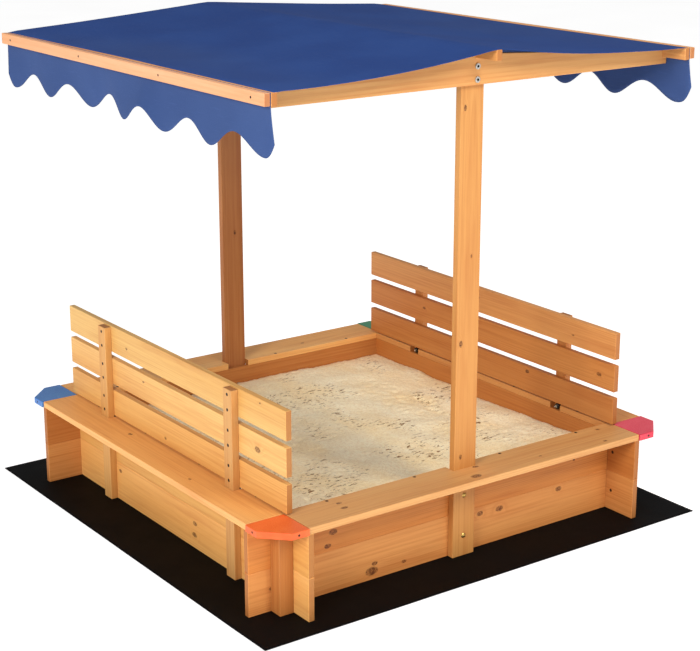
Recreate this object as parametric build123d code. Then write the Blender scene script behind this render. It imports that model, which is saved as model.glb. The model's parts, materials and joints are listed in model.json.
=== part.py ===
from build123d import *
from math import ceil
import os

# Wooden sandbox with two benches, backrests and a fabric canopy on two posts.
# X runs along the front wall, Y from the front to the back, and Z is up. The origin is the
# centre of the ground sheet's underside. Heights are above the ground. All sizes are in
# millimetres. Apart from the scalloped edges of the cloth, the object is the same on both sides
# of the planes X = 0 and Y = 0.

# Ground sheet
sheet_side = 1280
sheet_thickness = 1.5

# Every board has the same rounded edges
edge_round = 1.5

# Walls: two tongue-and-groove boards high, lapped into each other where they cross
wall_thickness = 15
wall_outer = 984
wall_length = 1172
wall_board_height = 102
tongue_width = 5
tongue_height = 5
tongue_clearance = 0.3
lap_clearance = 0.2
corner_post_side = 36

# Bench boards and corner caps, which lie on the walls
board_thickness = 16
board_outer = 1172
cap_inner = 980
cap_outer = 1180
cap_chamfer = 55
cap_gap = 1
notch_clearance = 0.4

# Backrests: three slats on two battens, which run down to the ground outside the wall
slat_length = 1008
slat_height = 68
slat_gap = 16
slat_rise = 3.5
batten_width = 36
batten_depth = 18
batten_spacing = 592
batten_top = 457.5

# Canopy frame
post_width = 64
post_depth = 18
rafter_thickness = 15
rafter_bottom = 1114
rafter_end_top = 1146
rafter_peak = 1181.5
lip_height = 16
lip_inset = 1
rail_width = 14
rail_height = 28
rail_inner = 1128
strip_width = 14
strip_height = 26
roof_length = 1194
ridge_bottom = 1173
ridge_width = 15
ridge_height = 24
roof_clearance = 0.3

# Canopy cloth and its scalloped edges
cloth_thickness = 2
cloth_length = 1192
cloth_clearance = 0.3
valance_drop = 107
scallop_depth = 42
scallop_pitch = 190
left_scallop_start = -572
right_scallop_start = -555

# Sand
sand_top = 165
sand_clearance = 0.5

# Fasteners: radii and lengths
hole_clearance = 0.1
screw_radius = 2
screw_head_radius = 4
screw_head_depth = 2.4
screw_length = 28
small_screw_radius = 1.5
small_head_radius = 2.8
small_head_depth = 1.8
small_screw_length = 22
slot_length_share = 1.2
slot_width_share = 0.3
bolt_radius = 3
dome_head_radius = 6.5
dome_head_height = 3
socket_head_radius = 7
socket_head_height = 2.5
socket_head_round = 1
socket_radius = 2.6
socket_depth = 2
washer_radius = 8
washer_thickness = 1.2
nut_radius = 5.8
nut_height = 5
bolt_end = 2
cap_nut_radius = 7.5
cap_nut_length = 10
cap_nut_round = 2
hanger_bolt_length = 62

# Fastener places
post_bolt_heights = (52.5, 154.5)
rafter_bolt_heights = (1125.5, 1154.5)
corner_screw_heights = (52.5, 154.5)
batten_screw_heights = (52.5, 140)
slat_screw_spacing = 36
board_screw_places = (-373, -128, 128, 373)
strip_screw_places = (-548, -184, 184, 548)
cap_screw_inset = 28

# Values that follow from the ones above
wall_bottom = sheet_thickness
wall_top = wall_bottom + 2 * wall_board_height
wall_face = wall_outer / 2
wall_inner_face = wall_face - wall_thickness
wall_middle = wall_face - wall_thickness / 2
board_top = wall_top + board_thickness
board_middle = wall_top + board_thickness / 2
batten_face = wall_face + batten_depth
post_face = wall_face + post_depth
rafter_face = post_face + rafter_thickness
lip_top = rafter_bottom + lip_height
rail_face = rail_inner / 2 + rail_width
rail_top = lip_top + rail_height
cloth_face = rail_face + cloth_clearance + cloth_thickness
strip_inner = cloth_face + cloth_clearance
strip_face = strip_inner + strip_width
strip_bottom = rail_top - strip_height
ridge_top = ridge_bottom + ridge_height


def slab(x, y, z):
    """Box from the lowest to the highest x, y and z, each given as a pair."""
    centre = ((x[0] + x[1]) / 2, (y[0] + y[1]) / 2, (z[0] + z[1]) / 2)
    return Pos(*centre) * Box(x[1] - x[0], y[1] - y[0], z[1] - z[0])


def board(x, y, z):
    """Planed board: a slab with all its edges rounded."""
    return fillet(slab(x, y, z).edges(), edge_round)


def mirror_x(shape):
    """The same shape on the other side of the plane X = 0."""
    return mirror(shape, about=Plane.YZ)


def mirror_y(shape):
    """The same shape on the other side of the plane Y = 0."""
    return mirror(shape, about=Plane.XZ)


def along(point, direction):
    """Location at a point whose Z axis lies along a direction."""
    return Plane(origin=point, z_dir=direction).location


def rod(point, direction, radius, start, end):
    """Cylinder about a line, between two distances from a point on it."""
    middle = Pos(0, 0, (start + end) / 2)
    return along(point, direction) * middle * Cylinder(radius, end - start)


def four_ways(shapes):
    """Shapes of the front left corner, repeated at the other three corners."""
    left = shapes + [mirror_y(shape) for shape in shapes]
    return left + [mirror_x(shape) for shape in left]


# Walls

def wall_board(level, laps_open_upwards):
    """Wall board along X on the line Y = 0; level 0 is the lower board and 1 the upper."""
    bottom = wall_bottom + level * wall_board_height
    top = bottom + wall_board_height
    middle = (bottom + top) / 2
    half = wall_thickness / 2
    reach = (-wall_length / 2, wall_length / 2)
    plank = board(reach, (-half, half), (bottom, top))
    if level == 0:
        tongue = (-wall_length / 2 + edge_round, wall_length / 2 - edge_round)
        plank += slab(tongue, (-tongue_width / 2, tongue_width / 2), (top, top + tongue_height))
    else:
        groove = tongue_width / 2 + tongue_clearance
        plank -= slab(reach, (-groove, groove), (bottom, bottom + tongue_height + tongue_clearance))
    lap = wall_thickness / 2 + lap_clearance
    for centre in (-wall_middle, wall_middle):
        across = (centre - lap, centre + lap)
        cut = (middle, top) if laps_open_upwards else (bottom, middle)
        plank -= slab(across, (-wall_thickness, wall_thickness), cut)
        plank -= slab(across, (-wall_thickness, wall_thickness), (top, top + tongue_height))
    return plank


def walls():
    """The eight wall boards: front and back laps open upwards, the side laps downwards."""
    boards = {}
    for level, name in ((0, "lower"), (1, "upper")):
        end_board = wall_board(level, True)
        side_board = Rot(0, 0, 90) * wall_board(level, False)
        boards[f"front_wall_{name}_board"] = Pos(0, -wall_middle, 0) * end_board
        boards[f"back_wall_{name}_board"] = Pos(0, wall_middle, 0) * end_board
        boards[f"left_wall_{name}_board"] = Pos(-wall_middle, 0, 0) * side_board
        boards[f"right_wall_{name}_board"] = Pos(wall_middle, 0, 0) * side_board
    return boards


def corner_posts():
    """Square posts in the outer angle of each crossing."""
    span = (-wall_face - corner_post_side, -wall_face)
    front_left = board(span, span, (wall_bottom, wall_top))
    names = ("front_left", "back_left", "front_right", "back_right")
    return {f"{name}_corner_post": post for name, post in zip(names, four_ways([front_left]))}


# Bench boards

def notch(centre, width, depth_face):
    """Cut through a board at Y < 0, open to its inner edge, for an upright on the wall."""
    half = width / 2 + notch_clearance
    across = (centre - half, centre + half)
    deep = (-depth_face - notch_clearance, -wall_inner_face + board_thickness)
    return slab(across, deep, (wall_top - board_thickness, board_top + board_thickness))


def bench_board(notch_places, notch_width, depth_face):
    """Board on the front wall, notched around the uprights that pass it."""
    half = cap_inner / 2 - cap_gap
    plank = board((-half, half), (-board_outer / 2, -wall_inner_face), (wall_top, board_top))
    for place in notch_places:
        plank -= notch(place, notch_width, depth_face)
    return plank


def bench_boards():
    """Top boards on the front and back walls, and the bench seats on the side walls."""
    front = bench_board((0,), post_width, post_face)
    seat = bench_board((-batten_spacing / 2, batten_spacing / 2), batten_width, batten_face)
    left = Rot(0, 0, -90) * seat
    half = cap_inner / 2
    corner = slab((-half, -wall_inner_face), (-half, cap_gap - wall_inner_face), (wall_top, board_top))
    left -= corner
    left -= mirror_y(corner)
    return {
        "front_top_board": front,
        "back_top_board": mirror_y(front),
        "left_bench_seat": left,
        "right_bench_seat": mirror_x(left),
    }


def corner_caps():
    """Coloured square caps over the corners, each with its outer corner cut off."""
    near = -cap_inner / 2
    far = -cap_outer / 2
    cut = far + cap_chamfer
    outline = Polyline((near, near), (near, far), (cut, far), (far, cut), (far, near), close=True)
    cap = Pos(0, 0, wall_top) * extrude(make_face(outline), board_thickness)
    cap = fillet(cap.edges(), edge_round)
    names = ("front_left", "back_left", "front_right", "back_right")
    return {f"{name}_corner_cap": one for name, one in zip(names, four_ways([cap]))}


# Backrests

def slat_bottoms():
    """Heights of the undersides of the three slats."""
    first = board_top + slat_rise
    return [first + index * (slat_height + slat_gap) for index in range(3)]


def backrests():
    """Slats above the side walls and the battens that carry them."""
    parts = {}
    for name, bottom in zip(("lower", "middle", "upper"), slat_bottoms()):
        span = (-slat_length / 2, slat_length / 2)
        slat = board((-wall_face, -wall_inner_face), span, (bottom, bottom + slat_height))
        parts[f"left_backrest_{name}_slat"] = slat
        parts[f"right_backrest_{name}_slat"] = mirror_x(slat)
    span = (-(batten_spacing + batten_width) / 2, -(batten_spacing - batten_width) / 2)
    batten = board((-batten_face, -wall_face), span, (wall_bottom, batten_top))
    names = ("left_backrest_front", "left_backrest_back", "right_backrest_front", "right_backrest_back")
    for name, one in zip(names, four_ways([batten])):
        parts[f"{name}_batten"] = one
    return parts


# Canopy frame

def canopy_posts():
    """Upright boards outside the middle of the front and back walls."""
    half = post_width / 2
    front = board((-half, half), (-post_face, -wall_face), (wall_bottom, ridge_bottom))
    return {"front_post": front, "back_post": mirror_y(front)}


def rafter():
    """Gable board on the front post: straight below, peaked above, with lips for the rails."""
    end = rail_inner / 2 - roof_clearance
    lip = rail_face - lip_inset
    beam = ridge_width / 2 + roof_clearance
    right = [
        (beam, ridge_bottom),
        (beam, rafter_peak),
        (end, rafter_end_top),
        (end, lip_top),
        (lip, lip_top),
        (lip, rafter_bottom),
    ]
    left = [(-x, z) for x, z in reversed(right)]
    outline = Polyline([Vector(x, -post_face, z) for x, z in left + right], close=True)
    gable = extrude(make_face(outline), rafter_thickness, dir=(0, -1, 0))
    long_edges = gable.edges().filter_by(lambda edge: edge.length > rail_inner / 3)
    return fillet(long_edges, edge_round)


def canopy_frame():
    """Posts, rafters, ridge beam, eave rails and the strips that clamp the cloth."""
    front_rafter = rafter()
    span = (-roof_length / 2, roof_length / 2)
    ridge = board((-ridge_width / 2, ridge_width / 2), span, (ridge_bottom, ridge_top))
    rail = board((-rail_face, -rail_inner / 2), span, (lip_top, rail_top))
    strip = board((-strip_face, -strip_inner), span, (strip_bottom, rail_top))
    parts = canopy_posts()
    parts["front_rafter"] = front_rafter
    parts["back_rafter"] = mirror_y(front_rafter)
    parts["ridge_beam"] = ridge
    parts["left_eave_rail"] = rail
    parts["right_eave_rail"] = mirror_x(rail)
    parts["left_clamp_strip"] = strip
    parts["right_clamp_strip"] = mirror_x(strip)
    return parts


# Cloth and sand

def canopy_cloth():
    """One cloth over the ridge and both rails, hanging below them with scalloped edges."""
    below = strip_bottom - valance_drop - scallop_depth
    fold = rail_face + cloth_clearance
    lift = cloth_clearance + cloth_thickness
    inner = [
        (ridge_width / 2, ridge_top + cloth_clearance),
        (rail_inner / 2, rail_top + cloth_clearance),
        (fold, rail_top + cloth_clearance),
        (fold, below),
    ]
    outer = [
        (cloth_face, below),
        (cloth_face, rail_top + lift),
        (rail_inner / 2, rail_top + lift),
        (ridge_width / 2, ridge_top + lift),
    ]
    start = -cloth_length / 2
    left = [(-x, z) for x, z in reversed(inner + outer)]
    points = left[4:] + inner + outer + left[:4]
    outline = Polyline([Vector(x, start, z) for x, z in points], close=True)
    cloth = extrude(make_face(outline), cloth_length, dir=(0, 1, 0))
    return cloth - scallop_cutter(right_scallop_start) - mirror_x(scallop_cutter(left_scallop_start))


def scallop_cutter(first_lobe):
    """Everything below a waved edge at X > 0 whose first lobe is lowest at this Y."""
    drop = strip_bottom - valance_drop
    level = drop + scallop_depth / 2
    low = drop - 2 * scallop_depth
    quarter = scallop_pitch / 4
    count = 2 * ceil((cloth_length / 2 - first_lobe) / scallop_pitch) + 2
    start = first_lobe - 3 * quarter
    end = start + count * 2 * quarter
    edges = [
        ThreePointArc(
            (0, start + 2 * index * quarter, level),
            (0, start + (2 * index + 1) * quarter, drop if index % 2 else drop + scallop_depth),
            (0, start + (2 * index + 2) * quarter, level),
        )
        for index in range(count)
    ]
    edges.append(Line((0, end, level), (0, end, low)))
    edges.append(Line((0, end, low), (0, start, low)))
    edges.append(Line((0, start, low), (0, start, level)))
    return extrude(make_face(edges), cloth_face + strip_width, dir=(1, 0, 0))


def sand():
    """Sand bed between the walls, on the ground sheet."""
    half = wall_inner_face - sand_clearance
    bed = slab((-half, half), (-half, half), (sheet_thickness, sand_top))
    pocket = washer_radius + sand_clearance
    reach = nut_height + bolt_end + washer_thickness + sand_clearance
    for height in post_bolt_heights:
        for y, way in ((-wall_inner_face, 1), (wall_inner_face, -1)):
            bed -= rod((0, y, height), (0, way, 0), pocket, 0, reach)
    return bed


# Fasteners: each maker returns the fastener with its outer face at the start of its line

def countersunk_screw(point, direction, radius, head_radius, head_depth, length):
    """Screw whose flat head is level with the wood, with a cross slot in it."""
    head = Pos(0, 0, head_depth / 2) * Cone(head_radius, radius, head_depth)
    shank = Pos(0, 0, length / 2) * Cylinder(radius, length)
    slot = (head_radius * slot_length_share, head_radius * slot_width_share, head_depth)
    cross = Box(*slot) + Rot(0, 0, 90) * Box(*slot)
    return along(point, direction) * (head + shank - cross)


def wood_screw(point, direction):
    """Full-size countersunk screw."""
    size = (screw_radius, screw_head_radius, screw_head_depth, screw_length)
    return countersunk_screw(point, direction, *size)


def small_screw(point, direction):
    """Short countersunk screw for the strips and caps."""
    size = (small_screw_radius, small_head_radius, small_head_depth, small_screw_length)
    return countersunk_screw(point, direction, *size)


def bolt_shank(grip):
    """Shank along Z from the wood's face, long enough to pass the washer and the nut."""
    length = grip + washer_thickness + nut_height + bolt_end
    return Pos(0, 0, length / 2) * Cylinder(bolt_radius, length)


def domed_bolt(point, direction, grip):
    """Bolt with a shallow domed head on the wood."""
    ball_radius = (dome_head_radius ** 2 + dome_head_height ** 2) / (2 * dome_head_height)
    ball = Pos(0, 0, ball_radius - dome_head_height) * Sphere(ball_radius)
    head = ball & Pos(0, 0, -dome_head_height / 2) * Cylinder(dome_head_radius, dome_head_height)
    return along(point, direction) * (head + bolt_shank(grip))


def socket_bolt(point, direction, grip):
    """Bolt with a flat round head on the wood and a six-sided socket in it."""
    head = Pos(0, 0, -socket_head_height / 2) * Cylinder(socket_head_radius, socket_head_height)
    head = fillet(head.edges().group_by(Axis.Z)[0], socket_head_round)
    socket = extrude(RegularPolygon(socket_radius, 6), socket_depth)
    return along(point, direction) * (head + bolt_shank(grip) - Pos(0, 0, -socket_head_height) * socket)


def washer(point, direction, start):
    """Flat ring from this far along its line."""
    hole = bolt_radius + hole_clearance
    middle = Pos(0, 0, start + washer_thickness / 2)
    ring = Cylinder(washer_radius, washer_thickness) - Cylinder(hole, washer_thickness)
    return along(point, direction) * middle * ring


def hex_nut(point, direction, grip):
    """Six-sided nut on a washer, this far along its line."""
    face = RegularPolygon(nut_radius, 6) - Circle(bolt_radius + hole_clearance)
    return along(point, direction) * Pos(0, 0, grip + washer_thickness) * extrude(face, nut_height)


def hanger_bolt(point, direction):
    """Headless bolt from the cap nut through the batten into the bench seat."""
    start = bolt_end - cap_nut_length - 2 * bolt_end
    return rod(point, direction, bolt_radius, start, start + hanger_bolt_length)


def cap_nut(point, direction):
    """Round black nut against the batten, with a rounded rim."""
    body = Cylinder(cap_nut_radius, cap_nut_length)
    body = fillet(body.edges().group_by(Axis.Z)[0], cap_nut_round)
    body -= Cylinder(bolt_radius + hole_clearance, cap_nut_length)
    return along(point, direction) * Pos(0, 0, -cap_nut_length / 2) * body


def fastener_groups():
    """Every kind of fastener, as lists of separate solids."""
    front_bolts = [(0, -post_face, z) for z in post_bolt_heights]
    rafter_bolts = [(0, -rafter_face, z) for z in rafter_bolt_heights]
    inward = (0, 1, 0)
    post_grip = post_depth + wall_thickness
    rafter_grip = rafter_thickness + post_depth

    def both_ends(shapes):
        return shapes + [mirror_y(shape) for shape in shapes]

    batten_line = -batten_spacing / 2
    slat_middles = [bottom + slat_height / 2 for bottom in slat_bottoms()]
    slat_heights = [z + side * slat_screw_spacing / 2 for z in slat_middles for side in (-1, 1)]
    corner_middle = -wall_face - corner_post_side / 2
    corner_screws = [
        wood_screw((-wall_inner_face, corner_middle, z), (-1, 0, 0)) for z in corner_screw_heights
    ]
    front_screws = [
        wood_screw((x, -wall_middle, board_top), (0, 0, -1)) for x in board_screw_places
    ]
    seat_screws = [
        wood_screw((-wall_middle, y, board_top), (0, 0, -1)) for y in board_screw_places
    ]
    seat_bolt = (-wall_face, batten_line, board_middle)
    cap_place = -cap_inner / 2 - cap_screw_inset
    cap_screws = [
        small_screw((cap_place, -cap_outer / 2, board_middle), (0, 1, 0)),
        small_screw((-cap_outer / 2, cap_place, board_middle), (1, 0, 0)),
    ]
    strip_middle = (strip_bottom + rail_top) / 2
    strip_screws = [small_screw((-strip_face, y, strip_middle), (1, 0, 0)) for y in strip_screw_places]
    rafter_middle = -post_face - rafter_thickness / 2
    rail_screw_height = (lip_top + rafter_end_top) / 2
    rail_screw = wood_screw((-rail_face, rafter_middle, rail_screw_height), (1, 0, 0))
    ridge_screw = small_screw((0, rafter_middle, ridge_top), (0, 0, -1))
    return {
        "post_bolts": both_ends([domed_bolt(p, inward, post_grip) for p in front_bolts]),
        "post_washers": both_ends([washer(p, inward, post_grip) for p in front_bolts]),
        "post_nuts": both_ends([hex_nut(p, inward, post_grip) for p in front_bolts]),
        "rafter_bolts": both_ends([socket_bolt(p, inward, rafter_grip) for p in rafter_bolts]),
        "rafter_washers": both_ends([washer(p, inward, rafter_grip) for p in rafter_bolts]),
        "rafter_nuts": both_ends([hex_nut(p, inward, rafter_grip) for p in rafter_bolts]),
        "slat_screws": four_ways(
            [wood_screw((-batten_face, batten_line, z), (1, 0, 0)) for z in slat_heights]
        ),
        "batten_screws": four_ways(
            [wood_screw((-wall_inner_face, batten_line, z), (-1, 0, 0)) for z in batten_screw_heights]
        ),
        "corner_post_screws": four_ways(corner_screws),
        "seat_hanger_bolts": four_ways([hanger_bolt(seat_bolt, (-1, 0, 0))]),
        "seat_cap_nuts": four_ways([cap_nut(seat_bolt, (-1, 0, 0))]),
        "top_board_screws": both_ends(front_screws),
        "bench_seat_screws": seat_screws + [mirror_x(one) for one in seat_screws],
        "corner_cap_screws": four_ways(cap_screws),
        "clamp_strip_screws": strip_screws + [mirror_x(one) for one in strip_screws],
        "eave_rail_screws": four_ways([rail_screw]),
        "ridge_screws": both_ends([ridge_screw]),
    }


def near(first, second):
    """True where the bounding boxes of two shapes meet."""
    a = first.bounding_box()
    b = second.bounding_box()
    pairs = ((a.min.X, a.max.X, b.min.X, b.max.X), (a.min.Y, a.max.Y, b.min.Y, b.max.Y),
             (a.min.Z, a.max.Z, b.min.Z, b.max.Z))
    return all(low <= other_high and other_low <= high for low, high, other_low, other_high in pairs)


def drilled(part, fasteners):
    """The part without the space of its fasteners and without the plugs in their sockets."""
    for fastener in fasteners:
        if near(part, fastener):
            part -= fastener
    return part.solids().sort_by(SortBy.VOLUME)[-1]


def build():
    """Every node of the sandbox by name."""
    wooden = {}
    for group in (walls(), corner_posts(), bench_boards(), corner_caps(), backrests(), canopy_frame()):
        wooden.update(group)
    groups = fastener_groups()
    fasteners = [solid for group in groups.values() for solid in group]
    nodes = {name: drilled(part, fasteners) for name, part in wooden.items()}
    nodes["ground_sheet"] = slab(
        (-sheet_side / 2, sheet_side / 2), (-sheet_side / 2, sheet_side / 2), (0, sheet_thickness)
    )
    nodes["sand_bed"] = sand()
    nodes["canopy_cloth"] = drilled(canopy_cloth(), fasteners)
    for name, solids in groups.items():
        nodes[name] = Compound(children=solids)
    return nodes


os.makedirs("parts", exist_ok=True)
for name, shape in build().items():
    export_step(shape, f"parts/{name}.step")
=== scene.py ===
import json
import math
import random

import bmesh
import bpy
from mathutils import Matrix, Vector, noise


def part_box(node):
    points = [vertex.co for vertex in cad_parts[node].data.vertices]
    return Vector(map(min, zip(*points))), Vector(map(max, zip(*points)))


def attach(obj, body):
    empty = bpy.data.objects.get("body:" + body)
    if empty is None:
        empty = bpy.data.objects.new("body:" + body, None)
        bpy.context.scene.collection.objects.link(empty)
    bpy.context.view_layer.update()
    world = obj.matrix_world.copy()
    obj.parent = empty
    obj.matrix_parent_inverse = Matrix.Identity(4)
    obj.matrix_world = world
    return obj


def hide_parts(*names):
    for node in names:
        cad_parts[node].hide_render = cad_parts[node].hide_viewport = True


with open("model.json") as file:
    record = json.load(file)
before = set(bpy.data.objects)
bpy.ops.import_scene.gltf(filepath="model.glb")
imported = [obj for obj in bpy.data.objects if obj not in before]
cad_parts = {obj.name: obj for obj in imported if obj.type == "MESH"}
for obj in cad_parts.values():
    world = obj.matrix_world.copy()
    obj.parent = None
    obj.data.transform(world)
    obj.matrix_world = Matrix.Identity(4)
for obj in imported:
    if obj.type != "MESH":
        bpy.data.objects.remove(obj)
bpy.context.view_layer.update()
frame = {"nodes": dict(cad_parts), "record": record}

# Covered wooden sandbox. Everything is in metres, in the frame of the CAD model: X runs along
# the front wall, Y from front to back, and Z is up. The boards and fasteners are CAD nodes with
# materials; the canopy cloth, the ground sheet and the sand are meshes made here.

TURN = 2 * math.pi

# ---------------------------------------------------------------------------------------------
# Node materials
# ---------------------------------------------------------------------------------------------


def srgb(red, green, blue):
    """Linear colour with alpha from sRGB values of 0 to 255."""

    def linear(value):
        value /= 255
        return value / 12.92 if value <= 0.04045 else ((value + 0.055) / 1.055) ** 2.4

    return (linear(red), linear(green), linear(blue), 1.0)


class Nodes:
    """Short calls for building one material's node tree."""

    def __init__(self, name):
        self.material = bpy.data.materials.new(name)
        self.material.use_nodes = True
        self.tree = self.material.node_tree
        self.tree.nodes.clear()
        self.output = self.tree.nodes.new("ShaderNodeOutputMaterial")
        self.shader = self.tree.nodes.new("ShaderNodeBsdfPrincipled")
        self.link(self.shader.outputs[0], self.output.inputs["Surface"])
        self.place = self.tree.nodes.new("ShaderNodeTexCoord").outputs["Object"]

    def link(self, source, target):
        self.tree.links.new(source, target)

    def feed(self, target, value):
        if isinstance(value, bpy.types.NodeSocket):
            self.link(value, target)
        else:
            target.default_value = value

    def math(self, operation, first, second=0.0):
        node = self.tree.nodes.new("ShaderNodeMath")
        node.operation = operation
        self.feed(node.inputs[0], first)
        self.feed(node.inputs[1], second)
        return node.outputs[0]

    def vector(self, operation, first, second=(0, 0, 0)):
        node = self.tree.nodes.new("ShaderNodeVectorMath")
        node.operation = operation
        self.feed(node.inputs[0], first)
        self.feed(node.inputs[1], second)
        return node.outputs["Value" if operation == "LENGTH" else "Vector"]

    def noise(self, place, scale, detail=2.0, roughness=0.5, distortion=0.0):
        node = self.tree.nodes.new("ShaderNodeTexNoise")
        self.link(place, node.inputs["Vector"])
        node.inputs["Scale"].default_value = scale
        node.inputs["Detail"].default_value = detail
        node.inputs["Roughness"].default_value = roughness
        node.inputs["Distortion"].default_value = distortion
        return node.outputs["Fac"]

    def split(self, place):
        node = self.tree.nodes.new("ShaderNodeSeparateXYZ")
        self.link(place, node.inputs[0])
        return node.outputs

    def combine(self, x, y, z):
        node = self.tree.nodes.new("ShaderNodeCombineXYZ")
        for target, value in zip(node.inputs, (x, y, z)):
            self.feed(target, value)
        return node.outputs[0]

    def ramp(self, value, low, high, out_low=0.0, out_high=1.0):
        """Smooth step of a value from one range to another."""
        node = self.tree.nodes.new("ShaderNodeMapRange")
        node.interpolation_type = "SMOOTHSTEP"
        for target, number in zip(node.inputs[:5], (value, low, high, out_low, out_high)):
            self.feed(target, number)
        return node.outputs[0]

    def mix(self, factor, first, second, blend="MIX"):
        node = self.tree.nodes.new("ShaderNodeMix")
        node.data_type = "RGBA"
        node.blend_type = blend
        self.feed(node.inputs[0], factor)
        self.feed(node.inputs[6], first)
        self.feed(node.inputs[7], second)
        return node.outputs[2]

    def bump(self, height, distance, strength, normal=None):
        node = self.tree.nodes.new("ShaderNodeBump")
        node.inputs["Strength"].default_value = strength
        node.inputs["Distance"].default_value = distance
        self.link(height, node.inputs["Height"])
        if normal is not None:
            self.link(normal, node.inputs["Normal"])
        return node.outputs[0]

    def finish(self, color, roughness, normal=None, **settings):
        """Wires the shader. Its other inputs are keywords, such as specular_ior_level."""
        self.feed(self.shader.inputs["Base Color"], color)
        self.feed(self.shader.inputs["Roughness"], roughness)
        if normal is not None:
            self.link(normal, self.shader.inputs["Normal"])
        for name, value in settings.items():
            label = name.replace("_", " ").title().replace("Ior", "IOR")
            self.shader.inputs[label].default_value = value
        return self.material


# ---------------------------------------------------------------------------------------------
# Wood
# ---------------------------------------------------------------------------------------------

# In both palettes the end colour on end faces is partly the darker end grain of sawn wood, partly
# painted shade
PINE = {
    "light": srgb(240, 188, 118),
    "early": srgb(230, 168, 96),
    "late": srgb(196, 118, 54),
    "dark": srgb(92, 44, 16),
    "end": srgb(158, 96, 44),
}
PALE_PINE = {
    "light": srgb(252, 214, 150),
    "early": srgb(244, 196, 124),
    "late": srgb(222, 160, 88),
    "dark": srgb(130, 84, 44),
    "end": srgb(164, 98, 52),
}
RING_SPACING = 0.0032
RING_WANDER = 0.02
PITH_DEPTH = 0.05
SLOW_STRETCH = 0.09
FIBRE_STRETCH = 0.02
KNOT_RADIUS = 0.0048
KNOT_ROUGHNESS = 0.0035
KNOT_SWELL = 0.0045
KNOT_ALONG_GRAIN = 0.6
KNOT_THROUGH_BOARD = 0.12
END_GRAIN_AND_SHADE_SHARE = 0.8


def stretched(axis, share):
    """Scale factors that draw a texture out along one axis."""
    factors = Vector((1, 1, 1))
    factors[axis] = share
    return factors


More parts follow.
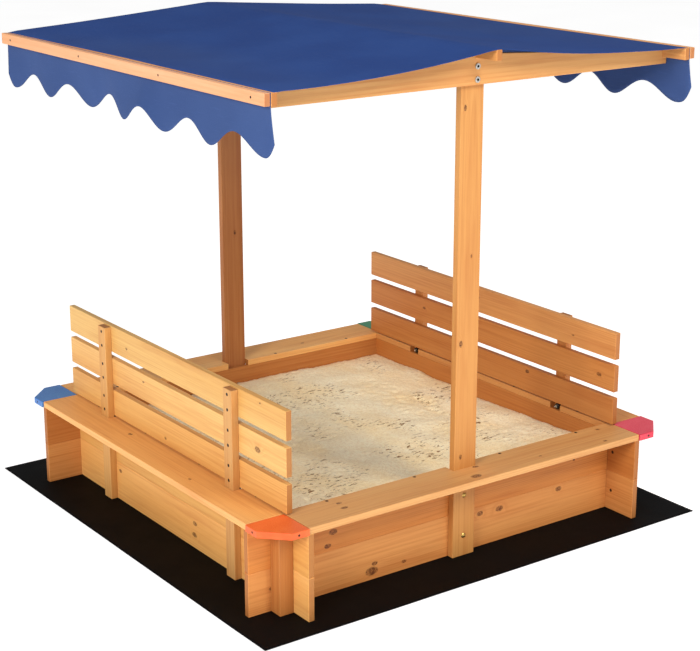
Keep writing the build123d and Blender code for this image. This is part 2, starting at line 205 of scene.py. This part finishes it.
def wood(node, grain, seed, palette, knots, tone_and_shade):
    """Sawn softwood along one axis of a CAD node, cut from around a pith outside the board.

    grain is 0, 1 or 2 for X, Y or Z. Each knot is (share along the grain, share across the
    wide side, size), with shares of the node's own box. The tone multiplies the palette; it is
    partly the board's own colour and partly painted shade and light.
    """
    low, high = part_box(node)
    centre = (low + high) / 2
    size = high - low
    thin, wide = sorted((axis for axis in range(3) if axis != grain), key=lambda a: size[a])
    draw = random.Random(seed)
    pith = Vector(centre)
    pith[thin] += (size[thin] / 2 + PITH_DEPTH * draw.uniform(0.7, 1.5)) * draw.choice((-1, 1))
    pith[wide] += size[wide] * draw.uniform(-0.45, 0.45)
    pith[grain] = draw.uniform(-9, 9)

    n = Nodes(f"wood_{node}")
    place = n.vector("SUBTRACT", n.place, pith)
    slow = n.vector("MULTIPLY", place, stretched(grain, SLOW_STRETCH))
    fine = n.vector("MULTIPLY", place, stretched(grain, FIBRE_STRETCH))

    # Knots bend the rings around them and darken the wood
    rough_edge = n.math("SUBTRACT", n.noise(n.place, 130.0, 3.0, 0.7), 0.5)
    squeeze = stretched(grain, KNOT_ALONG_GRAIN)
    squeeze[thin] = KNOT_THROUGH_BOARD
    knot_mask = None
    ring_shift = None
    for along, across, scale in knots:
        spot = Vector(centre)
        spot[grain] = low[grain] + along * size[grain]
        spot[wide] = low[wide] + across * size[wide]
        away = n.vector("SUBTRACT", n.place, spot)
        length = n.vector("LENGTH", n.vector("MULTIPLY", away, squeeze))
        length = n.math("ADD", length, n.math("MULTIPLY", rough_edge, KNOT_ROUGHNESS))
        radius = KNOT_RADIUS * scale
        mask = n.ramp(length, radius * 0.75, radius * 1.15, 1.0, 0.0)
        knot_mask = mask if knot_mask is None else n.math("MAXIMUM", knot_mask, mask)
        swell = n.ramp(length, 0.0, radius * 3.2, KNOT_SWELL * scale, 0.0)
        ring_shift = swell if ring_shift is None else n.math("MAXIMUM", ring_shift, swell)

    # Growth rings: distance from the pith, disturbed slowly along the grain
    parts = n.split(place)
    thin_square = n.math("MULTIPLY", parts[thin], parts[thin])
    wide_square = n.math("MULTIPLY", parts[wide], parts[wide])
    radial = n.math("SQRT", n.math("ADD", thin_square, wide_square))
    wander = n.math("SUBTRACT", n.noise(slow, 6.0, 2.0), 0.5)
    distance = n.math("ADD", radial, n.math("MULTIPLY", wander, RING_WANDER))
    if ring_shift is not None:
        distance = n.math("ADD", distance, ring_shift)
    ring = n.math("FRACT", n.math("DIVIDE", distance, RING_SPACING * draw.uniform(0.8, 1.3)))
    late = n.math("MULTIPLY", n.ramp(ring, 0.25, 0.86), n.ramp(ring, 0.9, 1.0, 1.0, 0.0))
    strength = n.ramp(n.noise(slow, 16.0, 2.0), 0.3, 0.75, 0.04, 0.34)
    late = n.math("MULTIPLY", late, strength)

    fibre = n.noise(fine, 900.0, 4.0, 0.65)
    streak = n.noise(fine, 160.0, 3.0, 0.6)
    patch = n.noise(slow, 7.0, 2.0)

    color = n.mix(n.ramp(patch, 0.3, 0.72), palette["early"], palette["light"])
    band = n.noise(slow, 34.0, 3.0, 0.6)
    color = n.mix(n.ramp(band, 0.48, 0.74, 0.0, 0.34), color, palette["late"])
    color = n.mix(late, color, palette["late"])
    color = n.mix(n.ramp(streak, 0.42, 0.8, 0.0, 0.42), color, palette["late"])
    color = n.mix(n.ramp(fibre, 0.5, 0.85, 0.0, 0.3), color, palette["late"])
    color = n.mix(n.ramp(streak, 0.15, 0.4, 0.3, 0.0), color, palette["light"])
    facing = n.split(n.tree.nodes.new("ShaderNodeNewGeometry").outputs["True Normal"])[grain]
    end_grain_and_shade = n.ramp(n.math("ABSOLUTE", facing), 0.75, 0.95)
    height = n.math("ADD", n.math("MULTIPLY", fibre, 0.6), n.math("MULTIPLY", late, -0.8))
    rough = n.ramp(fibre, 0.2, 0.8, 0.46, 0.62)
    if knot_mask is not None:
        core = n.ramp(n.noise(n.place, 320.0, 3.0, 0.7), 0.35, 0.65, 0.35, 1.0)
        color = n.mix(n.math("MULTIPLY", knot_mask, core), color, palette["dark"])
        height = n.math("SUBTRACT", height, n.math("MULTIPLY", knot_mask, 0.7))
    # The tone is partly the board's own colour, partly painted shade and light
    color = n.mix(1.0, color, (*tone_and_shade, 1.0), "MULTIPLY")
    # End faces darken: partly the darker end grain of sawn wood, partly painted shade on them
    color = n.mix(n.math("MULTIPLY", end_grain_and_shade, END_GRAIN_AND_SHADE_SHARE), color, palette["end"])
    normal = n.bump(height, 0.0003, 0.5)
    return n.finish(color, rough, normal, specular_ior_level=0.35)


BRUSH_SHADE = 0.55


def paint(name, color, edge, node):
    """Satin paint over sawn wood: brush marks, slight fading and worn edges."""
    low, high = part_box(node)
    centre = (low + high) / 2
    n = Nodes(name)
    place = n.vector("SUBTRACT", n.place, centre)
    grain = n.noise(n.vector("MULTIPLY", place, (0.06, 1.0, 1.0)), 420.0, 3.0, 0.6)
    cloudy = n.noise(place, 26.0, 3.0)
    speck = n.noise(place, 700.0, 2.0)
    tint = n.mix(n.ramp(cloudy, 0.3, 0.75, 0.0, 0.35), color, edge)
    shade = tuple(value * BRUSH_SHADE for value in color[:3]) + (1,)
    tint = n.mix(n.ramp(grain, 0.55, 0.85, 0.0, 0.22), tint, shade)
    pointed = n.tree.nodes.new("ShaderNodeNewGeometry").outputs["Pointiness"]
    worn = n.math("MULTIPLY", n.ramp(pointed, 0.53, 0.6), n.ramp(speck, 0.45, 0.62))
    tint = n.mix(n.math("MULTIPLY", worn, 0.5), tint, edge)
    rough = n.ramp(cloudy, 0.2, 0.8, 0.36, 0.5)
    normal = n.bump(n.math("ADD", grain, n.math("MULTIPLY", speck, 0.3)), 0.0002, 0.45)
    return n.finish(tint, rough, normal, specular_ior_level=0.45)


BOLT_HEAD_RADIUS = 0.007
SOCKET_RADIUS = 0.003
SOCKET_EDGE = 0.0003


def metal(name, color, dark, roughness, metallic=1.0, socket_node=None):
    """Plated metal with fine scratches and dull patches.

    The sockets of socket_node's two rows of bolts, one above the other, are painted dark: painted
    shade inside the recesses.
    """
    n = Nodes(name)
    cloudy = n.noise(n.place, 300.0, 3.0)
    scratch = n.noise(n.vector("MULTIPLY", n.place, (1.0, 1.0, 0.1)), 2600.0, 2.0)
    tint = n.mix(n.ramp(cloudy, 0.35, 0.75, 0.0, 0.7), color, dark)
    if socket_node is not None:
        low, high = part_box(socket_node)
        x, _, z = n.split(n.place)
        middle = (low.z + high.z) / 2
        reach = (high.z - low.z) / 2 - BOLT_HEAD_RADIUS
        height = n.math("SUBTRACT", n.math("ABSOLUTE", n.math("SUBTRACT", z, middle)), reach)
        radial = n.vector("LENGTH", n.combine(x, height, 0.0))
        # Painted shade: near black inside each bolt socket
        socket_shade = n.ramp(radial, SOCKET_RADIUS - SOCKET_EDGE, SOCKET_RADIUS + SOCKET_EDGE, 1.0, 0.0)
        tint = n.mix(socket_shade, tint, srgb(20, 18, 16))
    rough = n.ramp(scratch, 0.2, 0.8, roughness * 0.75, roughness * 1.3)
    normal = n.bump(scratch, 0.00005, 0.3)
    return n.finish(tint, rough, normal, metallic=metallic)


def black_plastic(name):
    """Moulded black plastic with a faint orange-peel surface."""
    n = Nodes(name)
    peel = n.noise(n.place, 900.0, 2.0)
    dust = n.noise(n.place, 260.0, 4.0)
    tint = n.mix(n.ramp(dust, 0.6, 0.8, 0.0, 0.3), srgb(16, 15, 15), srgb(62, 56, 50))
    return n.finish(tint, n.ramp(dust, 0.4, 0.8, 0.2, 0.4), n.bump(peel, 0.00005, 0.4))


CANOPY_THREAD = 0.0011
GROUND_TAPE = 0.0026


def plain_weave(n, across, along, pitch):
    """Over-and-under pattern of two sets of threads, from -1 to 1."""
    warp = n.math("SINE", n.math("MULTIPLY", across, TURN / pitch))
    weft = n.math("SINE", n.math("MULTIPLY", along, TURN / pitch))
    return n.math("MULTIPLY", warp, weft)


def canopy_weave(name, hem_height):
    """Coated plain weave, navy; the hanging edges are painted greyer and lighter than the top, a
    painted sheen of the light falling on them.
    """
    n = Nodes(name)
    x, y, z = n.split(n.place)
    weave = plain_weave(n, n.math("ADD", x, z), y, CANOPY_THREAD)
    cloudy = n.noise(n.place, 5.0, 3.0)
    slub = n.noise(n.vector("MULTIPLY", n.place, (1.0, 0.05, 1.0)), 420.0, 2.0)
    tint = n.mix(n.ramp(cloudy, 0.3, 0.75), srgb(30, 62, 126), srgb(40, 72, 136))
    # Painted light and sheen: greyer, lighter navy on the hanging edges below the rail
    hanging = n.mix(n.ramp(cloudy, 0.3, 0.75), srgb(54, 76, 124), srgb(62, 84, 132))
    tint = n.mix(n.ramp(z, hem_height - 0.012, hem_height + 0.006, 1.0, 0.0), tint, hanging)
    tint = n.mix(n.ramp(weave, -0.9, 0.9, 0.0, 0.2), tint, srgb(30, 54, 112))
    tint = n.mix(n.ramp(slub, 0.55, 0.8, 0.0, 0.15), tint, srgb(80, 106, 164))
    crease = n.noise(n.vector("MULTIPLY", n.place, (1.0, 1.0, 0.5)), 34.0, 3.0, 0.55)
    fine = n.bump(weave, 0.00012, 0.35)
    normal = n.bump(crease, 0.0012, 0.3, fine)
    rough = n.ramp(cloudy, 0.2, 0.8, 0.72, 0.84)
    return n.finish(tint, rough, normal, specular_ior_level=0.12)


def ground_weave(name):
    """Black woven tape fabric, matte."""
    n = Nodes(name)
    x, y, _ = n.split(n.place)
    weave = plain_weave(n, x, y, GROUND_TAPE)
    cloudy = n.noise(n.place, 7.0, 4.0)
    dust = n.noise(n.place, 60.0, 5.0, 0.7)
    tint = n.mix(n.ramp(cloudy, 0.3, 0.75), srgb(4, 4, 5), srgb(8, 8, 8))
    tint = n.mix(n.ramp(weave, -0.5, 0.9, 0.0, 0.5), tint, srgb(4, 4, 4))
    tint = n.mix(n.ramp(dust, 0.62, 0.85, 0.0, 0.18), tint, srgb(44, 36, 28))
    normal = n.bump(weave, 0.0003, 0.5)
    return n.finish(tint, n.ramp(cloudy, 0.2, 0.8, 0.62, 0.78), normal, specular_ior_level=0.08)


def sand_grains(name):
    """Dry play sand: pale grains, sparse dark specks, and clusters of small dents painted dark
    brown as painted shade.
    """
    n = Nodes(name)
    grain = n.noise(n.place, 700.0, 3.0, 0.8)
    mottle = n.noise(n.place, 150.0, 3.0, 0.75)
    drift = n.noise(n.vector("MULTIPLY", n.place, (1.0, 0.6, 1.0)), 7.0, 4.0, 0.6)
    shaded_dent_cluster = n.noise(n.place, 5.5, 2.0, 0.5)
    streak = n.noise(n.vector("MULTIPLY", n.place, (0.62, 1.5, 1.0)), 85.0, 3.0, 0.62, 0.5)
    fleck = n.noise(n.vector("MULTIPLY", n.place, (0.8, 1.2, 1.0)), 210.0, 2.0, 0.6)
    tint = n.mix(n.ramp(drift, 0.32, 0.68), srgb(255, 242, 202), srgb(252, 226, 170))
    tint = n.mix(n.ramp(mottle, 0.4, 0.7, 0.0, 0.5), tint, srgb(224, 186, 124))
    tint = n.mix(n.ramp(grain, 0.4, 0.68, 0.0, 0.45), tint, srgb(255, 250, 232))
    # Painted shade: the clusters of small dents are painted dark brown
    dents = n.math("MULTIPLY", n.ramp(shaded_dent_cluster, 0.48, 0.6), n.ramp(streak, 0.56, 0.64))
    tint = n.mix(n.math("MULTIPLY", dents, 0.95), tint, srgb(126, 82, 36))
    tint = n.mix(n.ramp(fleck, 0.68, 0.76, 0.0, 0.7), tint, srgb(146, 98, 50))
    coarse = n.bump(streak, 0.004, 0.5)
    normal = n.bump(mottle, 0.0022, 0.55, coarse)
    normal = n.bump(grain, 0.0009, 0.6, normal)
    return n.finish(tint, 0.95, normal, specular_ior_level=0.12)


FLOOR_GLOW = 0.55


def floor_finish(name):
    """Plain pale studio floor with a little glow of its own, so that it stays white."""
    n = Nodes(name)
    cloudy = n.noise(n.place, 1.5, 2.0)
    tint = n.mix(n.ramp(cloudy, 0.3, 0.7), srgb(252, 252, 252), srgb(248, 248, 248))
    n.shader.inputs["Emission Color"].default_value = (1.0, 1.0, 1.0, 1.0)
    return n.finish(tint, 0.9, None, specular_ior_level=0.1, emission_strength=FLOOR_GLOW)


def wear(obj, material):
    """Gives an object this one material."""
    obj.data.materials.clear()
    obj.data.materials.append(material)


# Knots of the boards that show some: share along the grain, share across the wide side, size
KNOTS = {
    "front_top_board": [
        (0.133, 0.69, 1.0),
        (0.128, 0.44, 1.2),
        (0.526, 0.63, 1.1),
        (0.49, 0.21, 1.9),
        (0.70, 0.3, 0.6),
        (0.90, 0.16, 0.9),
        (0.942, 0.79, 0.8),
    ],
    "front_wall_upper_board": [
        (0.192, 0.43, 1.5),
        (0.179, 0.13, 1.2),
        (0.81, 0.5, 0.6),
        (0.66, 0.7, 0.5),
    ],
    "front_wall_lower_board": [
        (0.283, 0.2, 2.2),
        (0.29, 0.36, 1.1),
        (0.362, 0.2, 0.9),
        (0.555, 0.79, 1.3),
        (0.607, 0.77, 1.5),
        (0.769, 0.82, 1.3),
        (0.05, 0.5, 0.8),
    ],
    "front_post": [(0.907, 0.2, 0.9), (0.62, 0.6, 0.6), (0.448, 0.2, 1.1), (0.214, 0.28, 0.9)],
    "back_post": [(0.5, 0.6, 0.9)],
    "left_backrest_middle_slat": [(0.113, 0.45, 1.5), (0.62, 0.7, 0.6)],
    "left_backrest_upper_slat": [(0.1, 0.85, 0.5), (0.7, 0.4, 0.7)],
    "left_backrest_lower_slat": [(0.52, 0.25, 0.7)],
    "right_backrest_upper_slat": [(0.52, 0.6, 0.8), (0.15, 0.4, 0.6)],
    "right_backrest_middle_slat": [(0.053, 0.5, 1.1), (0.75, 0.6, 0.8)],
    "right_backrest_lower_slat": [(0.316, 0.8, 1.0), (0.62, 0.3, 0.7)],
    "left_bench_seat": [(0.647, 0.6, 1.0), (0.3, 0.3, 0.7)],
    "right_bench_seat": [(0.5, 0.4, 0.9)],
    "back_top_board": [(0.3, 0.5, 0.9), (0.75, 0.4, 0.8)],
    "left_wall_upper_board": [(0.3, 0.5, 0.8), (0.72, 0.35, 0.9)],
    "left_wall_lower_board": [(0.407, 0.6, 1.2), (0.41, 0.32, 1.3), (0.72, 0.75, 1.0)],
    "back_wall_lower_board": [(0.66, 0.5, 0.9)],
    "right_wall_lower_board": [(0.33, 0.5, 0.9)],
}
# Tone of each board against the palette, partly its own colour and partly painted light and shade:
# the back post, the right backrest and bench, the back and right walls and the corner post are
# darkened with painted shade; boards that aren't listed have PLAIN_TONE
PLAIN_TONE = (0.86, 0.72, 0.64)
BOARD_TONES_AND_SHADE = {
    "front_post": (0.74, 0.66, 0.56),
    "back_post": (0.50, 0.34, 0.28),
    "front_rafter": (0.95, 0.92, 0.94),
    "back_rafter": (0.90, 0.80, 0.74),
    "ridge_beam": (0.85, 0.74, 0.66),
    "left_clamp_strip": (0.80, 0.62, 0.76),
    "right_clamp_strip": (0.80, 0.64, 0.70),
    "left_backrest_upper_slat": (0.86, 0.97, 0.95),
    "left_backrest_middle_slat": (0.92, 0.99, 0.97),
    "left_backrest_lower_slat": (0.94, 0.98, 0.90),
    "left_backrest_front_batten": (0.72, 0.69, 0.66),
    "left_backrest_back_batten": (0.80, 0.82, 0.80),
    "right_backrest_upper_slat": (0.86, 0.72, 0.66),
    "right_backrest_middle_slat": (0.73, 0.54, 0.40),
    "right_backrest_lower_slat": (0.68, 0.50, 0.38),
    "right_backrest_front_batten": (0.70, 0.54, 0.44),
    "right_backrest_back_batten": (0.74, 0.58, 0.48),
    "left_bench_seat": (1.0, 0.98, 0.96),
    "right_bench_seat": (0.76, 0.60, 0.50),
    "left_wall_upper_board": (0.88, 0.87, 0.72),
    "left_wall_lower_board": (0.98, 0.97, 0.88),
    "front_wall_upper_board": (0.82, 0.56, 0.36),
    "front_wall_lower_board": (0.84, 0.64, 0.52),
    "front_top_board": (0.77, 0.71, 0.70),
    "back_top_board": (1.06, 1.04, 1.0),
    "back_wall_upper_board": (0.62, 0.44, 0.32),
    "back_wall_lower_board": (0.74, 0.58, 0.48),
    "right_wall_upper_board": (0.66, 0.48, 0.35),
    "right_wall_lower_board": (0.78, 0.62, 0.52),
    "front_left_corner_post": (0.60, 0.45, 0.35),
}
# The grain runs along X in nodes that start with these names, and along Z in nodes that have
# these in their names. In all other boards it runs along Y.
ALONG_X = ("front_wall", "back_wall", "front_top", "back_top", "front_rafter", "back_rafter")
ALONG_Z = ("corner_post", "batten", "front_post", "back_post")
PALETTES = {"pine": PINE, "pale_pine": PALE_PINE}
FIRST_SEED = 11
# Name of each corner cap's paint, its colour and the colour of its worn edges
CAP_PAINTS = {
    "front_left_corner_cap": ("orange_paint", srgb(224, 86, 26), srgb(238, 124, 62)),
    "back_left_corner_cap": ("blue_paint", srgb(48, 110, 186), srgb(104, 154, 208)),
    "front_right_corner_cap": ("red_paint", srgb(212, 40, 66), srgb(226, 104, 116)),
    "back_right_corner_cap": ("green_paint", srgb(22, 118, 74), srgb(80, 160, 120)),
}
ZINC = (srgb(208, 206, 200), srgb(140, 138, 134), 0.36)


def grain_axis(name):
    """Axis of a board's grain: X is 0, Y is 1 and Z is 2."""
    if name.startswith(ALONG_X):
        return 0
    return 2 if any(key in name for key in ALONG_Z) else 1


by_node = {node: paint(*look, node) for node, look in CAP_PAINTS.items()}
by_slot = {
    "brass": metal("brass", srgb(206, 170, 96), srgb(140, 104, 50), 0.3),
    "zinc": metal("zinc", *ZINC),
    "dark_steel": metal("dark_steel", srgb(70, 52, 40), srgb(32, 22, 16), 0.45, 0.7),
    "black_plastic": black_plastic("cap_nut_black"),
}
by_node["rafter_bolts"] = metal("bolt_zinc", *ZINC, socket_node="rafter_bolts")
slots = {part["node"]: part["material_slot"] for part in frame["record"]["subparts"]}

for seed, name in enumerate(sorted(frame["nodes"]), FIRST_SEED):
    obj = frame["nodes"][name]
    slot = slots[name]
    if name in by_node:
        wear(obj, by_node[name])
    elif slot in by_slot:
        wear(obj, by_slot[slot])
    elif slot in PALETTES:
        knots = KNOTS.get(name, ())
        tone_and_shade = BOARD_TONES_AND_SHADE.get(name, PLAIN_TONE)
        wear(obj, wood(name, grain_axis(name), seed, PALETTES[slot], knots, tone_and_shade))


# ---------------------------------------------------------------------------------------------
# Meshes
# ---------------------------------------------------------------------------------------------


def spread(low, high, cells):
    """Evenly spaced values from low to high, one more than there are cells."""
    return [low + (high - low) * step / cells for step in range(cells + 1)]


def grid_object(name, rows, material):
    """Object with a smooth quad grid from rows of points."""
    mesh = bpy.data.meshes.new(name)
    count = len(rows[0])
    points = [point for row in rows for point in row]
    faces = [
        (r * count + c, r * count + c + 1, (r + 1) * count + c + 1, (r + 1) * count + c)
        for r in range(len(rows) - 1)
        for c in range(count - 1)
    ]
    mesh.from_pydata(points, [], faces)
    for polygon in mesh.polygons:
        polygon.use_smooth = True
    mesh.validate()
    obj = bpy.data.objects.new(name, mesh)
    bpy.context.scene.collection.objects.link(obj)
    mesh.materials.append(material)
    return obj


def thicken(obj, thickness):
    """Gives a sheet a thickness, half on each side and closed all round."""
    modifier = obj.modifiers.new("thickness", "SOLIDIFY")
    modifier.thickness = thickness
    modifier.offset = 0.0
    modifier.use_even_offset = False
    modifier.use_rim = True


# Canopy cloth: one continuous sheet from one scalloped edge over the ridge to the other

rail_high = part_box("right_eave_rail")[1]
strip_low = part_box("right_clamp_strip")[0]
ridge_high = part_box("ridge_beam")[1]
cloth_low, cloth_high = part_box("canopy_cloth")

CLOTH_THICKNESS = 0.0008
CLOTH_GAP = 0.0012
RAIL_ROUNDING = 0.002
CLOTH_ROWS = 260
HANGING_CELLS = 16
SLOPE_CELLS = 44
SCALLOP_PITCH = 0.190
SCALLOP_DEPTH = 0.042
LEFT_LOBE = -0.572
RIGHT_LOBE = -0.555
CORNER_START = 0.568
CORNER_RISE = 0.024
FRONT_SAG = 0.0115
MIDDLE_SAG = 0.016
BACK_SAG = 0.002
SLOPE_RIPPLE = 0.0012
# Two waves of the left (-1) and the right (1) hanging edge: reach, length along Y, phase
HANGING_WAVES = {
    -1: ((0.0115, 1.02, -3.09), (0.0085, 0.40, 2.74)),
    1: ((0.0080, 0.81, 0.6), (0.0060, 0.37, -0.9)),
}
HANGING_DRIFT = 0.004
hang_x = (rail_high.x + strip_low.x) / 2
rail_cover = rail_high.z + CLOTH_GAP
ridge_cover = ridge_high.z + CLOTH_GAP


def lower_edge(y, first_lobe):
    """Height of the scalloped edge at this y."""
    phase = math.cos(TURN * (y - first_lobe) / SCALLOP_PITCH)
    corner = max(0.0, abs(y) - CORNER_START) / (cloth_high.y - CORNER_START)
    return cloth_low.z + SCALLOP_DEPTH * (1 - phase) / 2 + CORNER_RISE * corner ** 2.2


def hanging_wave(y, drop, side):
    """How far the hanging edge swings out, growing towards its lower end."""
    waves = (
        reach * math.sin(TURN * y / length + phase) for reach, length, phase in HANGING_WAVES[side]
    )
    drift = HANGING_DRIFT * noise.noise(Vector((y * 5.1, 7.7 * side, 0.0)))
    return drop ** 1.3 * (sum(waves) + drift)


def slope_height(x, y):
    """Height of the cloth over the left or right slope, sagging between ridge and rail."""
    reach = (abs(x) - ridge_high.x) / (rail_high.x - ridge_high.x)
    reach = min(max(reach, 0.0), 1.0)
    straight = ridge_cover + (rail_cover - ridge_cover) * reach
    if y < 0:
        sag = MIDDLE_SAG + (FRONT_SAG - MIDDLE_SAG) * y / cloth_low.y
    else:
        sag = MIDDLE_SAG + (BACK_SAG - MIDDLE_SAG) * (y / cloth_high.y) ** 2
    ripple = SLOPE_RIPPLE * noise.noise(Vector((x * 5.0, y * 4.0, 3.3)))
    bow = 4 * reach * (1 - reach)
    return straight - sag * bow + ripple * bow


def cloth_profile(y):
    """Points of the cloth across one line of y, from the left edge to the right edge."""

    def hanging(side, first_lobe):
        bottom = lower_edge(y, first_lobe)
        line = []
        for z in spread(bottom, rail_cover - RAIL_ROUNDING, HANGING_CELLS):
            free = min(max((strip_low.z - z) / (strip_low.z - bottom), 0.0), 1.0)
            line.append((side * (hang_x + hanging_wave(y, free, side)), y, z))
        return line

    left = hanging(-1, LEFT_LOBE)
    right = hanging(1, RIGHT_LOBE)[::-1]
    over = [(x, y, slope_height(x, y)) for x in spread(-hang_x, hang_x, SLOPE_CELLS)[1:-1]]
    return left + over + right


cloth_rows = [cloth_profile(y) for y in spread(cloth_low.y, cloth_high.y, CLOTH_ROWS)]
canopy = grid_object("canopy_sheet", cloth_rows, canopy_weave("canopy_weave", rail_high.z))
thicken(canopy, CLOTH_THICKNESS)
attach(canopy, "root")
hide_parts("canopy_cloth")


# Ground sheet

mat_low, mat_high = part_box("ground_sheet")
MAT_CELLS = 128
MAT_THICKNESS = 0.0008
MAT_LIFT = 0.0016
PRESSED_REACH = 0.60


def mat_height(x, y):
    """The sheet is pressed flat under the box and lifts a little towards its edges."""
    outside = max(abs(x), abs(y)) - PRESSED_REACH
    lift = max(outside, 0.0) / (mat_high.x - PRESSED_REACH)
    wave = 0.5 + 0.5 * noise.noise(Vector((x * 6.0, y * 6.0, 1.7)))
    return mat_low.z + MAT_THICKNESS + MAT_LIFT * min(lift, 1.0) * wave


mat_rows = [
    [(x, y, mat_height(x, y)) for x in spread(mat_low.x, mat_high.x, MAT_CELLS)]
    for y in spread(mat_low.y, mat_high.y, MAT_CELLS)
]
mat = grid_object("ground_mat", mat_rows, ground_weave("ground_weave"))
thicken(mat, MAT_THICKNESS)
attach(mat, "root")
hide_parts("ground_sheet")

# Sand

bed_low, bed_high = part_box("sand_bed")
SAND_CELLS = 190
SAND_LEVEL = bed_high.z - 0.003
SAND_FOOT = bed_low.z + 0.0005
SLUMP_DEPTH = 0.004
SLUMP_REACH = 0.03
HEAP_HEIGHT = 0.009
HEAP_START = 0.55
DENT_DEPTH = 0.009
LEVEL_SIDE = 0.3


def sand_height(x, y):
    """Raked and trodden surface, a little higher in the front corners than along the walls."""
    edge = min(bed_high.x - abs(x), bed_high.y - abs(y))
    slump = SLUMP_DEPTH * math.exp(-edge / SLUMP_REACH)
    heap = max(0.0, abs(x) / bed_high.x - HEAP_START) / (1 - HEAP_START)
    heap = HEAP_HEIGHT * heap * max(0.0, -y / bed_high.y)
    broad = 0.007 * noise.noise(Vector((x * 3.2, y * 3.2, 0.3)))
    lumps = 0.005 * noise.noise(Vector((x * 12.0, y * 12.0, 4.1)))
    dents = max(noise.noise(Vector((x * 38.0, y * 52.0, 2.0))), 0.0)
    trodden = max(0.0, noise.noise(Vector((x * 5.0, y * 5.0, 9.0))) + 0.2)
    grit = 0.0014 * noise.noise(Vector((x * 90.0, y * 90.0, 7.0)))
    return SAND_LEVEL + heap + broad + lumps - DENT_DEPTH * trodden * dents + grit - slump


def sand_mesh():
    """Closed sand body: the uneven top, straight sides and a flat bottom."""
    mesh = bpy.data.meshes.new("sand_fill")
    build = bmesh.new()
    side = SAND_CELLS + 1
    top = [
        build.verts.new((x, y, sand_height(x, y)))
        for y in spread(bed_low.y, bed_high.y, SAND_CELLS)
        for x in spread(bed_low.x, bed_high.x, SAND_CELLS)
    ]
    for r in range(SAND_CELLS):
        for c in range(SAND_CELLS):
            corner = r * side + c
            after = corner + side
            build.faces.new((top[corner], top[corner + 1], top[after + 1], top[after]))
    ring = (
        [top[c] for c in range(side)]
        + [top[r * side + side - 1] for r in range(1, side)]
        + [top[(side - 1) * side + c] for c in range(side - 2, -1, -1)]
        + [top[r * side] for r in range(side - 2, 0, -1)]
    )
    foot = [build.verts.new((v.co.x, v.co.y, SAND_FOOT)) for v in ring]
    for index in range(len(ring)):
        after = (index + 1) % len(ring)
        build.faces.new((ring[after], ring[index], foot[index], foot[after]))
    build.faces.new(foot[::-1])
    bmesh.ops.recalc_face_normals(build, faces=build.faces)
    build.to_mesh(mesh)
    build.free()
    for polygon in mesh.polygons:
        polygon.use_smooth = polygon.normal.z > LEVEL_SIDE
    return mesh


sand = bpy.data.objects.new("sand_fill", sand_mesh())
bpy.context.scene.collection.objects.link(sand)
sand.data.materials.append(sand_grains("play_sand"))
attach(sand, "root")
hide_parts("sand_bed")

# ---------------------------------------------------------------------------------------------
# Floor, light and camera
# ---------------------------------------------------------------------------------------------

FLOOR_REACH = 60.0
FLOOR_DROP = 0.001
floor_mesh = bpy.data.meshes.new("studio_floor")
floor_corners = [
    (x * FLOOR_REACH, y * FLOOR_REACH, -FLOOR_DROP) for x, y in ((-1, -1), (1, -1), (1, 1), (-1, 1))
]
floor_mesh.from_pydata(floor_corners, [], [(0, 1, 2, 3)])
floor = bpy.data.objects.new("studio_floor", floor_mesh)
bpy.context.scene.collection.objects.link(floor)
floor_mesh.materials.append(floor_finish("studio_floor"))

# The world lights the object softly, and where the camera sees it, it is plain white
WORLD_STRENGTH = 0.42
BACKDROP_STRENGTH = 1.0
world = bpy.data.worlds.new("studio")
bpy.context.scene.world = world
world.use_nodes = True
backdrop = world.node_tree.nodes["Background"]
backdrop.inputs["Color"].default_value = (1.0, 1.0, 1.0, 1.0)
seen = world.node_tree.nodes.new("ShaderNodeLightPath").outputs["Is Camera Ray"]
strength = world.node_tree.nodes.new("ShaderNodeMapRange")
world.node_tree.links.new(seen, strength.inputs["Value"])
strength.inputs["To Min"].default_value = WORLD_STRENGTH
strength.inputs["To Max"].default_value = BACKDROP_STRENGTH
world.node_tree.links.new(strength.outputs["Result"], backdrop.inputs["Strength"])


def area_light(name, place, target, size, power, color):
    """Square light that shines at a point."""
    light = bpy.data.lights.new(name, "AREA")
    light.shape = "SQUARE"
    light.size = size
    light.energy = power
    light.color = color
    obj = bpy.data.objects.new(name, light)
    obj.location = place
    obj.rotation_euler = (Vector(target) - Vector(place)).to_track_quat("-Z", "Y").to_euler()
    obj.visible_camera = False
    bpy.context.scene.collection.objects.link(obj)


area_light("key_light", (-5.9, -2.9, 3.5), (0.0, 0.0, 0.5), 2.3, 310.0, (1.0, 0.97, 0.93))
area_light("front_light", (0.6, -4.6, 4.2), (0.0, 0.0, 0.2), 2.0, 175.0, (1.0, 0.98, 0.95))

# Degrees: the pitch is below level, and the yaw is to the right of +Y
CAMERA_PLACE = (-2.3548, -3.3272, 1.663)
CAMERA_PITCH = 16.66
CAMERA_YAW = 35.73

camera_data = bpy.data.cameras.new("camera")
camera = bpy.data.objects.new("camera", camera_data)
bpy.context.scene.collection.objects.link(camera)
camera.location = CAMERA_PLACE
camera.rotation_euler = (math.radians(90 - CAMERA_PITCH), 0.0, math.radians(-CAMERA_YAW))
camera_data.sensor_width = 36.0
camera_data.sensor_fit = "HORIZONTAL"
camera_data.lens = 86.9
camera_data.clip_end = 100.0
bpy.context.scene.camera = camera
bpy.context.scene.view_settings.view_transform = "Standard"
